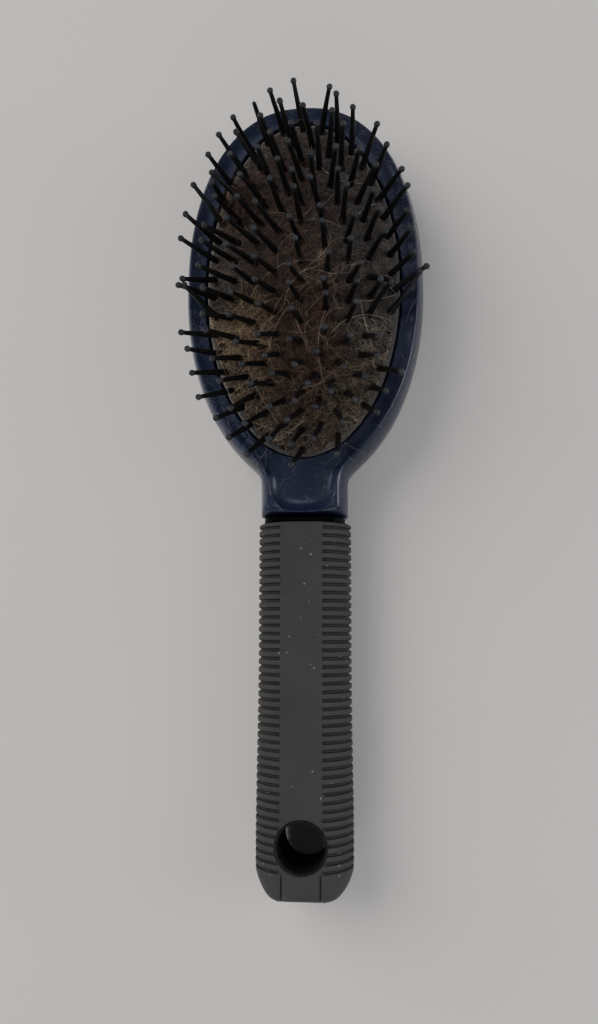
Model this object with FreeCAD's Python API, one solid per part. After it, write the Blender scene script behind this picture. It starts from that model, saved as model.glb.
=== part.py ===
import FreeCAD, Part
import math
import os

os.makedirs("parts", exist_ok=True)

# Oval cushion brush with ball-tipped pins, in millimetres.
# The brush lies on its back. +Y runs along it towards the head's tip and +Z towards the pin tips.
# The origin is under the middle of the whole brush, on the surface that it lies on.

# Whole brush
LENGTH = 230.0
TIP_Y = LENGTH / 2
BUTT_Y = -LENGTH / 2

# Head: an oval, full at its tip, that flares out of the neck
HEAD_CENTRE_Y = 58.5
HEAD_HALF_WIDTH = 34.8
HEAD_ROOT_REACH = 57.0
TIP_FULLNESS = 2.25
ROOT_FULLNESS = 2.06
NECK_HALF_WIDTH = 12.4
NECK_BLEND = 6.0
NECK_END_Y = -8.6
OUTLINE_STEPS = 22

# Head and neck from below upwards: a rounded back, an upright wall and a rounded top edge
WALL_BOTTOM_Z = 12.0
BACK_FLAT_SHARE = 0.42
BACK_TIP_SHARE = 0.66
BACK_STEPS = 7
# Each level of the top edge is a height and how far it is drawn in from the outline
TOP_EDGE_LEVELS = [
    (14.0, 0.0),
    (17.0, 0.4),
    (19.2, 1.05),
    (20.7, 1.8),
    (21.2, 2.25),
]
HEAD_TOP_Z = 21.2

# Front bezel: a plate let into the head, with a raised outer ridge and a dished face
BEZEL_INSET = 2.6
BEZEL_BOTTOM_Z = 16.4
BEZEL_NECK_END_Y = -6.55
RIDGE_TOP_Z = 21.8
DISH_OUTER_INSET = 3.6
DISH_SLOPE_WIDTH = 2.6
DISH_EDGE_Z = 19.6
DISH_NECK_END_Y = -5.4
SCOOP_DEPTH = 3.2
SCOOP_LENGTH = 13.0
SCOOP_HALF_WIDTH = 8.6
SCOOP_CENTRE_Y = 0.5
SCOOP_RISE = 0.6

# Gap between parts that are fitted together, and how far a cutting shape runs past what it cuts
ASSEMBLY_GAP = 0.05
OVERRUN = 5.0

# Cushion pad: a rubber dome with a skirt and a rim flange under the bezel
PAD_HALF_X = 28.1
PAD_HALF_Y = 49.8
PAD_EDGE_Z = 20.3
PAD_CROWN = 5.0
PAD_THICKNESS = 1.8
PAD_SKIRT_THICKNESS = 1.1
PAD_RIM_REACH = 2.0
PAD_RIM_THICKNESS = 1.2
PAD_GAP = 0.3

# Air chamber under the pad
CHAMBER_FLOOR_Z = 4.6
CHAMBER_WALL_Z = 11.0
CHAMBER_FLOOR_SHARE = 0.86
CHAMBER_WALL_GAP = 0.1

# Pins: nail-like, with a flange under the pad and a ball at the tip
PIN_LENGTH = 15.9
PIN_BALL_RADIUS = 0.86
PIN_BASE_RADIUS = 0.84
PIN_NECK_RADIUS = 0.5
PIN_FLANGE_RADIUS = 1.25
PIN_FLANGE_THICKNESS = 0.6
PIN_HOLE_GAP = 0.1
PIN_FLANGE_DROP = 0.8

# Pins fan outwards from the pad's middle, and all of them are set a little to the left
LEAN_PER_MM_X = 0.0235
LEAN_PER_MM_Y = 0.0122
LEAN_TO_LEFT = 0.1

# Pins stand in oval rings, evenly spaced along each, round a short centre row
RING_HALF_X = 25.6
RING_HALF_Y = 47.8
RING_STEP_X = 6.1
RING_STEP_Y = 5.6
RING_COUNTS = [42, 35, 28, 22]
RING_PHASES = [0.5, 0.25, 0.0, 0.5]
CENTRE_ROW_COUNT = 9
CENTRE_ROW_PITCH = 5.8

# Outer ring places whose pin has pulled out and left its hole
LOST_PINS = [30, 32, 34, 38, 39]

# Pins are grouped in lengthwise strips that lean together
STRIP_WIDTH = 5.2
STRIPS_EACH_SIDE = 5

# Grip: a round rubber sleeve with two flats and ribs on its sides
GRIP_TOP_Y = -10.2
GRIP_RADIUS = 13.3
GRIP_BUTT_RADIUS = 13.8
GRIP_SWELL_Y = -98.0
GRIP_AXIS_Z = 12.0
GRIP_FLAT_HALF_HEIGHT = 12.0
BUTT_START_Y = -106.2
BUTT_FLAT_RADIUS = 5.6
BUTT_SHOULDER = (12.0, -111.2)
STRIP_FACE_HALF_WIDTH = 6.0
RIB_PITCH = 2.265
RIB_COUNT = 42
FIRST_GROOVE_Y = -11.7
GROOVE_WIDTH = 0.8
GROOVE_DEPTH = 0.75
GROOVE_SWELL_START_Y = -34.0
GROOVE_SWELL_END_Y = -114.0

# Handle core: a stiff bar inside the grip, with a spigot in the neck
CORE_HALF_WIDTH = 9.6
CORE_HALF_HEIGHT = 8.4
CORE_END_Y = -110.8
CORE_CORNER_RADIUS = 3.5
SPIGOT_HALF_WIDTH = 8.0
SPIGOT_BOTTOM_Z = 4.4
SPIGOT_TOP_Z = 13.6
SPIGOT_END_Y = 3.0
SPIGOT_CORNER_RADIUS = 2.0

# Neck collar: the recessed black ring between the neck and the grip
COLLAR_SHARE = 0.945

# Hanging hole and its eyelet
HOLE_Y = -98.3
HOLE_RADIUS = 6.7
EYELET_WALL = 0.7
EYELET_BOTTOM_Z = 0.3
EYELET_TOP_Z = 23.7


def write(name, shape):
    shape.exportStep("parts/" + name + ".step")


def neck_or_head_half_width(y):
    """Half width of the head and neck outline at y, with a smooth flare between the two."""
    if y >= HEAD_CENTRE_Y:
        reach = TIP_Y - HEAD_CENTRE_Y
        share = min(1.0, (y - HEAD_CENTRE_Y) / reach)
        return HEAD_HALF_WIDTH * (1.0 - share ** TIP_FULLNESS) ** (1.0 / TIP_FULLNESS)
    share = min(1.0, (HEAD_CENTRE_Y - y) / HEAD_ROOT_REACH)
    oval = HEAD_HALF_WIDTH * (1.0 - share ** ROOT_FULLNESS) ** (1.0 / ROOT_FULLNESS)
    return (oval ** NECK_BLEND + NECK_HALF_WIDTH ** NECK_BLEND) ** (1.0 / NECK_BLEND)


def outline_points():
    """Points up the outline's right side, from the neck's end to the head's tip."""
    points = []
    for step in range(OUTLINE_STEPS):
        share = step / OUTLINE_STEPS
        angle = share * math.pi / 2
        y = NECK_END_Y + (TIP_Y - NECK_END_Y) * (0.35 * share + 0.65 * math.sin(angle))
        points.append((neck_or_head_half_width(y), y))
    points.append((0.0, TIP_Y))
    return points


def outline_wire(z, width_share, tip_share, inset):
    """The head and neck outline at height z, scaled towards the middle and drawn in by inset."""
    right = []
    points = outline_points()
    for index, (x, y) in enumerate(points):
        before = points[max(0, index - 1)]
        after = points[min(len(points) - 1, index + 1)]
        along_x = after[0] - before[0]
        along_y = after[1] - before[1]
        run = math.hypot(along_x, along_y)
        normal_x = along_y / run
        normal_y = -along_x / run
        if index == 0:
            normal_x, normal_y = 1.0, 0.0
        if index == len(points) - 1:
            normal_x, normal_y = 0.0, 1.0
        y_scaled = y
        if y > HEAD_CENTRE_Y:
            y_scaled = HEAD_CENTRE_Y + (y - HEAD_CENTRE_Y) * tip_share
        right.append(FreeCAD.Vector(x * width_share - inset * normal_x, y_scaled - inset * normal_y, z))
    left = [FreeCAD.Vector(-p.x, p.y, p.z) for p in reversed(right[:-1])]
    curve = Part.BSplineCurve()
    curve.interpolate(right + left)
    closing = Part.LineSegment(left[-1], right[0])
    return Part.Wire([curve.toShape(), closing.toShape()])


def box_between(x_low, x_high, y_low, y_high, z_low, z_high):
    corner = FreeCAD.Vector(x_low, y_low, z_low)
    return Part.makeBox(x_high - x_low, y_high - y_low, z_high - z_low, corner)


def without_neck_end(shape, end_y):
    """A shape of the head's outline, cut off square across the neck at end_y."""
    box = shape.BoundBox
    box.enlarge(OVERRUN)
    return shape.cut(box_between(box.XMin, box.XMax, box.YMin, end_y, box.ZMin, box.ZMax))


def outline_prism(inset, z_low, z_high, neck_end_y):
    """A plate with the head and neck outline drawn in by inset, ending at neck_end_y."""
    face = Part.Face(outline_wire(z_low, 1.0, 1.0, inset))
    plate = face.extrude(FreeCAD.Vector(0, 0, z_high - z_low))
    return without_neck_end(plate, neck_end_y)


def oval_wire(half_x, half_y, z):
    """An ellipse round the head's centre, its long axis along Y."""
    centre = FreeCAD.Vector(0, HEAD_CENTRE_Y, z)
    tip = centre + FreeCAD.Vector(0, half_y, 0)
    left = centre + FreeCAD.Vector(-half_x, 0, 0)
    return Part.Wire(Part.Ellipse(tip, left, centre).toShape())


def oval_prism(half_x, half_y, z_low, z_high):
    return Part.Face(oval_wire(half_x, half_y, z_low)).extrude(FreeCAD.Vector(0, 0, z_high - z_low))


def oval_loft(lower, upper):
    """A solid between two ovals, each given as half X, half Y and height."""
    return Part.makeLoft([oval_wire(*lower), oval_wire(*upper)], True)


def head_levels():
    """Height, width share, tip share and inset of each level of the head, from its back upwards."""
    levels = []
    for step in range(BACK_STEPS + 1):
        angle = math.pi / 2 * step / BACK_STEPS
        rise = math.sin(angle)
        height = WALL_BOTTOM_Z * (1.0 - math.cos(angle))
        width_share = BACK_FLAT_SHARE + (1.0 - BACK_FLAT_SHARE) * rise
        tip_share = BACK_TIP_SHARE + (1.0 - BACK_TIP_SHARE) * rise
        levels.append((height, width_share, tip_share, 0.0))
    for height, inset in TOP_EDGE_LEVELS:
        levels.append((height, 1.0, 1.0, inset))
    return levels


def head_body():
    wires = [outline_wire(*level) for level in head_levels()]
    return Part.makeLoft(wires, True, True)


def chamber():
    """The air space under the pad: a tapered bottom, an upright wall, and the rim's pocket."""
    wall_x = PAD_HALF_X - CHAMBER_WALL_GAP
    wall_y = PAD_HALF_Y - CHAMBER_WALL_GAP
    floor = (wall_x * CHAMBER_FLOOR_SHARE, wall_y * CHAMBER_FLOOR_SHARE, CHAMBER_FLOOR_Z)
    bottom = oval_loft(floor, (wall_x, wall_y, CHAMBER_WALL_Z))
    top_z = BEZEL_BOTTOM_Z + OVERRUN
    wall = oval_prism(wall_x, wall_y, CHAMBER_WALL_Z, top_z)
    rim_reach = PAD_RIM_REACH + PAD_GAP
    pocket_bottom = BEZEL_BOTTOM_Z - PAD_RIM_THICKNESS - 2 * ASSEMBLY_GAP
    pocket = oval_prism(PAD_HALF_X + rim_reach, PAD_HALF_Y + rim_reach, pocket_bottom, top_z)
    return bottom.fuse(wall).fuse(pocket)


def rounded_bar(half_width, y_low, y_high, z_low, z_high, corner_radius):
    """A bar along Y with its four long edges rounded."""
    bar = box_between(-half_width, half_width, y_low, y_high, z_low, z_high)
    long_edges = [edge for edge in bar.Edges if abs(edge.tangentAt(0).y) > 0.99]
    return bar.makeFillet(corner_radius, long_edges)


def spigot(gap):
    """The bar's end that fills the neck's socket, grown by gap all round."""
    half = SPIGOT_HALF_WIDTH + gap
    low = SPIGOT_BOTTOM_Z - gap
    high = SPIGOT_TOP_Z + gap
    return rounded_bar(half, GRIP_TOP_Y, SPIGOT_END_Y + gap, low, high, SPIGOT_CORNER_RADIUS)


def head_shell():
    pocket_end_y = BEZEL_NECK_END_Y - ASSEMBLY_GAP
    pocket_top_z = HEAD_TOP_Z + OVERRUN
    bezel_pocket = outline_prism(BEZEL_INSET - ASSEMBLY_GAP, BEZEL_BOTTOM_Z, pocket_top_z, pocket_end_y)
    return head_body().cut(bezel_pocket).cut(chamber()).cut(spigot(ASSEMBLY_GAP))


def dish():
    """What is cut from the bezel plate to leave a sloping face inside the ridge."""
    outer = outline_wire(RIDGE_TOP_Z + ASSEMBLY_GAP, 1.0, 1.0, DISH_OUTER_INSET)
    inner = outline_wire(DISH_EDGE_Z, 1.0, 1.0, DISH_OUTER_INSET + DISH_SLOPE_WIDTH)
    slope = Part.makeLoft([inner, outer], True, True)
    return without_neck_end(slope, DISH_NECK_END_Y)


def scoop():
    """The hollow in the neck, below the level of the dished face."""
    ball = Part.makeSphere(1.0)
    stretch = FreeCAD.Matrix()
    stretch.scale(SCOOP_HALF_WIDTH, SCOOP_LENGTH / 2, SCOOP_DEPTH)
    bowl = ball.transformGeometry(stretch)
    bowl.translate(FreeCAD.Vector(0, SCOOP_CENTRE_Y, DISH_EDGE_Z + SCOOP_RISE))
    return bowl


def front_bezel():
    plate = outline_prism(BEZEL_INSET, BEZEL_BOTTOM_Z, RIDGE_TOP_Z, BEZEL_NECK_END_Y)
    low = BEZEL_BOTTOM_Z - OVERRUN
    high = RIDGE_TOP_Z + OVERRUN
    opening = oval_prism(PAD_HALF_X + PAD_GAP, PAD_HALF_Y + PAD_GAP, low, high)
    return plate.cut(dish()).cut(scoop()).cut(opening)


def pad_radii():
    """Radii of the dome's two curves, across and along the pad, that meet its oval edge level."""
    across = (PAD_HALF_X ** 2 + PAD_CROWN ** 2) / (2 * PAD_CROWN)
    along = (PAD_HALF_Y ** 2 + PAD_CROWN ** 2) / (2 * PAD_CROWN)
    return across, along


def dome(half_x, half_y, edge_z, bottom_z):
    """A domed plug: an upright oval wall under a cap that is a patch of a ring's outer side."""
    across, along = pad_radii()
    centre = FreeCAD.Vector(0, HEAD_CENTRE_Y, edge_z + PAD_CROWN - along)
    cap = Part.makeTorus(along - across, across, centre, FreeCAD.Vector(1, 0, 0))
    return oval_prism(half_x, half_y, bottom_z, edge_z + PAD_CROWN + OVERRUN).common(cap)


def pad_surface_z(x, y):
    across, along = pad_radii()
    reach = math.sqrt(across ** 2 - x ** 2) + along - across
    return PAD_EDGE_Z + PAD_CROWN - along + math.sqrt(reach ** 2 - (y - HEAD_CENTRE_Y) ** 2)


def oval_ring_places(half_x, half_y, count, phase):
    """Places evenly spaced along an oval, starting at its right end and turning towards the tip."""
    slices = 720
    run = [0.0]
    for index in range(slices):
        angle = 2 * math.pi * (index + 0.5) / slices
        speed = math.hypot(half_x * math.sin(angle), half_y * math.cos(angle))
        run.append(run[-1] + speed * 2 * math.pi / slices)
    places = []
    index = 0
    for number in range(count):
        target = (number + phase) / count * run[-1]
        while run[index + 1] < target:
            index += 1
        angle = 2 * math.pi * (index + (target - run[index]) / (run[index + 1] - run[index])) / slices
        places.append((half_x * math.cos(angle), HEAD_CENTRE_Y + half_y * math.sin(angle)))
    return places


def hole_places():
    """Every hole in the pad, and whether it still holds a pin."""
    places = []
    for ring, count in enumerate(RING_COUNTS):
        half_x = RING_HALF_X - ring * RING_STEP_X
        half_y = RING_HALF_Y - ring * RING_STEP_Y
        ring_places = oval_ring_places(half_x, half_y, count, RING_PHASES[ring])
        for number, (x, y) in enumerate(ring_places):
            places.append((x, y, not (ring == 0 and number in LOST_PINS)))
    for number in range(CENTRE_ROW_COUNT):
        offset = (number - (CENTRE_ROW_COUNT - 1) / 2) * CENTRE_ROW_PITCH
        places.append((0.0, HEAD_CENTRE_Y + offset, True))
    return places


def pin_direction(x, y):
    """Pins fan outwards from the middle of the pad."""
    lean = FreeCAD.Vector(LEAN_PER_MM_X * x - LEAN_TO_LEFT, LEAN_PER_MM_Y * (y - HEAD_CENTRE_Y), 1.0)
    return lean.normalize()


def put_at(shape, x, y):
    """A copy of a shape made along +Z at the origin, stood on the pad at x, y along the fan."""
    turned = shape.copy()
    rotation = FreeCAD.Rotation(FreeCAD.Vector(0, 0, 1), pin_direction(x, y))
    turned.Placement = FreeCAD.Placement(FreeCAD.Vector(x, y, pad_surface_z(x, y)), rotation)
    return turned


def pin():
    """One pin along +Z, with the pad's outer surface at height zero."""
    flange_top = -(PAD_THICKNESS + PIN_FLANGE_DROP)
    flange_bottom = flange_top - PIN_FLANGE_THICKNESS
    ball_centre = PIN_LENGTH - PIN_BALL_RADIUS
    join_z = ball_centre - math.sqrt(PIN_BALL_RADIUS ** 2 - PIN_NECK_RADIUS ** 2)
    corners = [
        (0.0, flange_bottom),
        (PIN_FLANGE_RADIUS, flange_bottom),
        (PIN_FLANGE_RADIUS, flange_top),
        (PIN_BASE_RADIUS, flange_top),
        (PIN_BASE_RADIUS, 0.0),
        (PIN_NECK_RADIUS, join_z),
    ]
    points = [FreeCAD.Vector(x, 0, z) for x, z in corners]
    edges = [Part.LineSegment(a, b).toShape() for a, b in zip(points, points[1:])]
    top = FreeCAD.Vector(0, 0, PIN_LENGTH)
    side = FreeCAD.Vector(PIN_BALL_RADIUS, 0, ball_centre)
    edges.append(Part.Arc(points[-1], side, top).toShape())
    edges.append(Part.LineSegment(top, points[0]).toShape())
    half = Part.Face(Part.Wire(edges))
    return half.revolve(FreeCAD.Vector(0, 0, 0), FreeCAD.Vector(0, 0, 1), 360)


def cushion_pad():
    rim_top = BEZEL_BOTTOM_Z - ASSEMBLY_GAP
    rim_bottom = rim_top - PAD_RIM_THICKNESS
    outside = dome(PAD_HALF_X, PAD_HALF_Y, PAD_EDGE_Z, rim_bottom)
    rim = oval_prism(PAD_HALF_X + PAD_RIM_REACH, PAD_HALF_Y + PAD_RIM_REACH, rim_bottom, rim_top)
    inner_x = PAD_HALF_X - PAD_SKIRT_THICKNESS
    inner_y = PAD_HALF_Y - PAD_SKIRT_THICKNESS
    inside = dome(inner_x, inner_y, PAD_EDGE_Z - PAD_THICKNESS, rim_bottom - OVERRUN)
    pad = outside.fuse(rim).cut(inside)
    drill_radius = PIN_BASE_RADIUS + PIN_HOLE_GAP
    drill = Part.makeCylinder(drill_radius, 2 * OVERRUN, FreeCAD.Vector(0, 0, -OVERRUN))
    holes = [put_at(drill, x, y) for x, y, _ in hole_places()]
    return pad.cut(holes)


def strip_number(x):
    """Lengthwise strip that a pin at x belongs to, counted from the middle: minus is left."""
    nearest = int(math.floor(abs(x) / STRIP_WIDTH + 0.5))
    nearest = min(nearest, STRIPS_EACH_SIDE)
    if x < 0:
        nearest = -nearest
    return nearest


def strip_name(number):
    if number == 0:
        return "pins_middle"
    side = "right" if number > 0 else "left"
    return "pins_" + side + str(abs(number))


def pin_groups():
    """Pins by strip, each strip in two groups: towards the head's tip and towards the neck."""
    groups = {}
    one = pin()
    for x, y, filled in hole_places():
        if filled:
            end = "_tip" if y >= HEAD_CENTRE_Y else "_neck"
            groups.setdefault(strip_name(strip_number(x)) + end, []).append(put_at(one, x, y))
    return groups


def grip_solid():
    """The grip's outer form: a round bar that swells a little, with a rounded butt and two flats."""
    top = FreeCAD.Vector(GRIP_RADIUS, GRIP_TOP_Y, 0)
    waist = FreeCAD.Vector(GRIP_RADIUS, (GRIP_TOP_Y + GRIP_SWELL_Y) / 2, 0)
    swell = FreeCAD.Vector(GRIP_BUTT_RADIUS, GRIP_SWELL_Y, 0)
    butt_start = FreeCAD.Vector(GRIP_BUTT_RADIUS, BUTT_START_Y, 0)
    side = Part.BSplineCurve()
    side.interpolate([top, waist, swell, butt_start])
    shoulder = FreeCAD.Vector(BUTT_SHOULDER[0], BUTT_SHOULDER[1], 0)
    butt_edge = FreeCAD.Vector(BUTT_FLAT_RADIUS, BUTT_Y, 0)
    butt_middle = FreeCAD.Vector(0, BUTT_Y, 0)
    top_middle = FreeCAD.Vector(0, GRIP_TOP_Y, 0)
    edges = [
        side.toShape(),
        Part.Arc(butt_start, shoulder, butt_edge).toShape(),
        Part.LineSegment(butt_edge, butt_middle).toShape(),
        Part.LineSegment(butt_middle, top_middle).toShape(),
        Part.LineSegment(top_middle, top).toShape(),
    ]
    bar = Part.Face(Part.Wire(edges)).revolve(FreeCAD.Vector(0, 0, 0), FreeCAD.Vector(0, 1, 0), 360)
    bar.translate(FreeCAD.Vector(0, 0, GRIP_AXIS_Z))
    low = GRIP_AXIS_Z - GRIP_FLAT_HALF_HEIGHT
    high = GRIP_AXIS_Z + GRIP_FLAT_HALF_HEIGHT
    reach = GRIP_BUTT_RADIUS + OVERRUN
    return bar.common(box_between(-reach, reach, BUTT_Y - OVERRUN, GRIP_TOP_Y + OVERRUN, low, high))


def core_bar(gap):
    """The bar that fills the grip, grown by gap all round."""
    low = GRIP_AXIS_Z - CORE_HALF_HEIGHT - gap
    high = GRIP_AXIS_Z + CORE_HALF_HEIGHT + gap
    half = CORE_HALF_WIDTH + gap
    return rounded_bar(half, CORE_END_Y - gap, GRIP_TOP_Y, low, high, CORE_CORNER_RADIUS)


def eyelet_hole(radius):
    height = 2 * (GRIP_FLAT_HALF_HEIGHT + OVERRUN)
    return Part.makeCylinder(radius, height, FreeCAD.Vector(0, HOLE_Y, -OVERRUN))


def groove_cutters():
    """One groove on each side, as two curved bars, repeated along the grip."""
    reach = math.degrees(math.acos(STRIP_FACE_HALF_WIDTH / GRIP_RADIUS))
    inner = GRIP_RADIUS - GROOVE_DEPTH
    outer = GRIP_BUTT_RADIUS + OVERRUN
    swell_length = GROOVE_SWELL_START_Y - GROOVE_SWELL_END_Y
    along = FreeCAD.Vector(0, 1, 0)
    cutters = []
    for number in range(RIB_COUNT):
        y = FIRST_GROOVE_Y - number * RIB_PITCH - GROOVE_WIDTH / 2
        swell_share = min(1.0, max(0.0, (GROOVE_SWELL_START_Y - y) / swell_length))
        swell = (GRIP_BUTT_RADIUS - GRIP_RADIUS) * swell_share
        centre = FreeCAD.Vector(0, y, GRIP_AXIS_Z)
        for turn in (0.0, 180.0):
            wide = Part.makeCylinder(outer, GROOVE_WIDTH, centre, along, 2 * reach)
            slim = Part.makeCylinder(inner + swell, GROOVE_WIDTH, centre, along, 2 * reach)
            bar = wide.cut(slim)
            bar.rotate(centre, along, turn - reach)
            cutters.append(bar)
    return cutters


def grip_sleeve():
    eyelet_outer = HOLE_RADIUS + EYELET_WALL
    sleeve = grip_solid().cut(core_bar(ASSEMBLY_GAP))
    sleeve = sleeve.cut(groove_cutters())
    return sleeve.cut(eyelet_hole(eyelet_outer + ASSEMBLY_GAP))


def handle_core():
    eyelet_outer = HOLE_RADIUS + EYELET_WALL
    return core_bar(0.0).fuse(spigot(0.0)).removeSplitter().cut(eyelet_hole(eyelet_outer + ASSEMBLY_GAP))


def hang_hole_eyelet():
    height = EYELET_TOP_Z - EYELET_BOTTOM_Z
    outer = Part.makeCylinder(HOLE_RADIUS + EYELET_WALL, height, FreeCAD.Vector(0, HOLE_Y, EYELET_BOTTOM_Z))
    return outer.cut(eyelet_hole(HOLE_RADIUS))


def neck_collar():
    """The neck's own section, drawn in a little, between the neck and the grip."""
    right = []
    for z, width_share, _, inset in head_levels():
        x = (NECK_HALF_WIDTH * width_share - inset) * COLLAR_SHARE
        right.append(FreeCAD.Vector(x, GRIP_TOP_Y, GRIP_AXIS_Z + (z - GRIP_AXIS_Z) * COLLAR_SHARE))
    left = [FreeCAD.Vector(-p.x, p.y, p.z) for p in reversed(right)]
    sides = []
    for points in (right, left):
        curve = Part.BSplineCurve()
        curve.interpolate(points)
        sides.append(curve.toShape())
    top = Part.LineSegment(right[-1], left[0]).toShape()
    bottom = Part.LineSegment(left[-1], right[0]).toShape()
    face = Part.Face(Part.Wire([sides[0], top, sides[1], bottom]))
    return face.extrude(FreeCAD.Vector(0, NECK_END_Y - GRIP_TOP_Y, 0)).cut(spigot(ASSEMBLY_GAP))


write("head_shell", head_shell())
write("front_bezel", front_bezel())
write("cushion_pad", cushion_pad())
write("handle_core", handle_core())
write("neck_collar", neck_collar())
write("grip_sleeve", grip_sleeve())
write("hang_hole_eyelet", hang_hole_eyelet())
for group_name, pins in pin_groups().items():
    write(group_name, Part.makeCompound(pins))
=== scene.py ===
import math
import random

import bpy
import bmesh
import numpy as np
from mathutils import Matrix, Vector


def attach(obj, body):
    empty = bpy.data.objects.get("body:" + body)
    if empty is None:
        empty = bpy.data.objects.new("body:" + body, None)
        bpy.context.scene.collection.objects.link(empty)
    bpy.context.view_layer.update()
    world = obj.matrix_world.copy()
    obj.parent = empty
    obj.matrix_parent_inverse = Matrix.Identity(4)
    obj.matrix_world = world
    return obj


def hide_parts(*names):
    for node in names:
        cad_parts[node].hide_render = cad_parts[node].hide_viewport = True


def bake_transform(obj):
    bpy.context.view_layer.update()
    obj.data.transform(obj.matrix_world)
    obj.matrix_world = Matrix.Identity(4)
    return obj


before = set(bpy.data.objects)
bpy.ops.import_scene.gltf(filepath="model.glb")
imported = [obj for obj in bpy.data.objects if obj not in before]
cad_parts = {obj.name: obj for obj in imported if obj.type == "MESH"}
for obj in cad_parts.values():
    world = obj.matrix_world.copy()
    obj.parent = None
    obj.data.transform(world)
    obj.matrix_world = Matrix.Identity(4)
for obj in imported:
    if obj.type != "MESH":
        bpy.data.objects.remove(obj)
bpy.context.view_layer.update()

MM = 0.001
WELD_DISTANCE = 1e-7

# ---- sizes, in millimetres

# Outline of the head and the neck: ovals to the tip and to the root, blended into a straight neck
TIP_Y = 114.4
HEAD_CENTRE_Y = 58.5
HEAD_HALF_WIDTH = 34.8
HEAD_ROOT_REACH = 57.0
TIP_FULLNESS = 2.25
ROOT_FULLNESS = 2.06
NECK_HALF_WIDTH = 12.4
NECK_BLEND = 6.0
NECK_END_Y = -8.6
NECK_END_CORNER = 0.8
NECK_END_SQUARENESS = 4.0
NECK_END_ROUNDING = 0.25
WALL_END_GAP = 0.05
SIDE_STEPS = 110
SIDE_POINTS = 96
CORNER_STEPS = 16
EVEN_SHARE = 0.35

# Head shell: rounded back, wall, rounded top edge up to the seam, bezel pocket and air chamber
WALL_BOTTOM_Z = 12.0
BACK_FLAT_SHARE = 0.42
BACK_TIP_SHARE = 0.66
BACK_STEPS = 14
TOP_EDGE_START_Z = 14.2
TOP_EDGE_FULLNESS = 1.62
TOP_EDGE_CROWDING = 1.2
TOP_EDGE_STEPS = 18
SEAM_INSET = 2.6
INSET_LOSS = 0.30
INSET_LOSS_START_Y = 6.0
INSET_LOSS_END_Y = 34.0
SEAM_Z = 21.6
SEAM_END_Y = -7.3
SEAM_CORNER = 3.4
SEAM_SQUARENESS = 2.3
LIP_GAP = 0.01
LIP_DROP = 0.04
POCKET_Z = 17.0
POCKET_SHELF_DROP = 0.02
CHAMBER_FLOOR_Z = 8.0

# Bezel: a crest along the seam, a dish round the pad, and the neck's scoop
BEZEL_GAP = 0.05
BEZEL_EDGE_DROP = 0.06
CREST_Z = 21.6
CREST_WIDTH = 1.9
CREST_SHARPNESS = 1.7
DISH_Z = 20.25
SCOOP_DEPTH = 2.7
SCOOP_CENTRE_Y = 5.0
SCOOP_SQUARENESS = 2.8
SCOOP_FULLNESS = 2.2
SCOOP_EDGE_WIDTH = 0.6
SCOOP_START_Y = 12.0
SCOOP_FULL_Y = 3.0
BEZEL_CREST_STEPS = [0.0, 0.08, 0.18, 0.3, 0.45, 0.65, 0.9, 1.2, 1.6, 2.1]
BEZEL_DISH_STEPS = 14
OPENING_CHAMFER = 0.4
OPENING_DROPS = [0.3, 0.7]

# Cushion pad: a dome with a lip round each pin, an open pit at each lost pin, and a skirt under its edge
PAD_HALF_X = 28.1
PAD_HALF_Y = 49.8
PAD_EDGE_Z = 20.3
PAD_CROWN = 5.0
PAD_GAP = 0.45
PAD_EDGE_GAP = 0.02
PAD_STEPS_X = 150
PAD_STEPS_Y = 260
PAD_ROLL_WIDTH = 0.9
PAD_ROLL_DROP = 0.8
PAD_WAVY_SHARE = 0.97
PAD_FOOT_Z = 16.6
PAD_THICKNESS = 2.6
PAD_SKIRT_SHARE = 0.96
UNDERSIDE_SHARES = [PAD_SKIRT_SHARE - 0.005, 0.88, 0.75, 0.6, 0.45, 0.3, 0.15]
# Soft rings in its skin, as height, radius and width
PIN_LIP = (0.20, 1.5, 0.45)
PIN_DIP = (-0.25, 0.0, 0.95)
PIT_LIP = (0.22, 1.35, 0.35)
PIT_DEPTH = 2.3
PIT_MOUTH_RADIUS = 1.0
PIT_FLOOR_RADIUS = 0.72

# Pins: one shape, which fans outwards from the pad's middle and leans a little to the left
PIN_LENGTH = 15.9
PIN_BALL_RADIUS = 0.92
PIN_BASE_RADIUS = 0.95
PIN_NECK_RADIUS = 0.62
PIN_FOOT_PROFILE = [(0.98, -1.2), (0.98, -0.15), (0.95, 0.12)]
PIN_SHAFT_START = 0.45
PIN_SHAFT_SHARES = [0.12, 0.3, 0.5, 0.7, 0.86, 0.95]
PIN_SHAFT_TAPER = 0.85
PIN_BALL_STEPS = 9
PIN_SIDES = 14
LEAN_PER_MM_X = 0.0235
LEAN_PER_MM_Y = 0.0122
LEAN_TO_LEFT = 0.1
STRAY_LEAN = 0.06
STRAY_BOW = 0.45

# The pins' places: four oval rings and a centre row. The lost pins are counted round the outer ring.
RING_HALF_X = 25.6
RING_HALF_Y = 47.8
RING_STEP_X = 6.1
RING_STEP_Y = 5.6
RING_COUNTS = [42, 35, 28, 22]
RING_PHASES = [0.5, 0.25, 0.0, 0.5]
CENTRE_ROW_COUNT = 9
CENTRE_ROW_PITCH = 5.8
LOST_PINS = [30, 32, 34, 38, 39]
STRIP_WIDTH = 5.2
STRIPS_EACH_SIDE = 5

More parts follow.
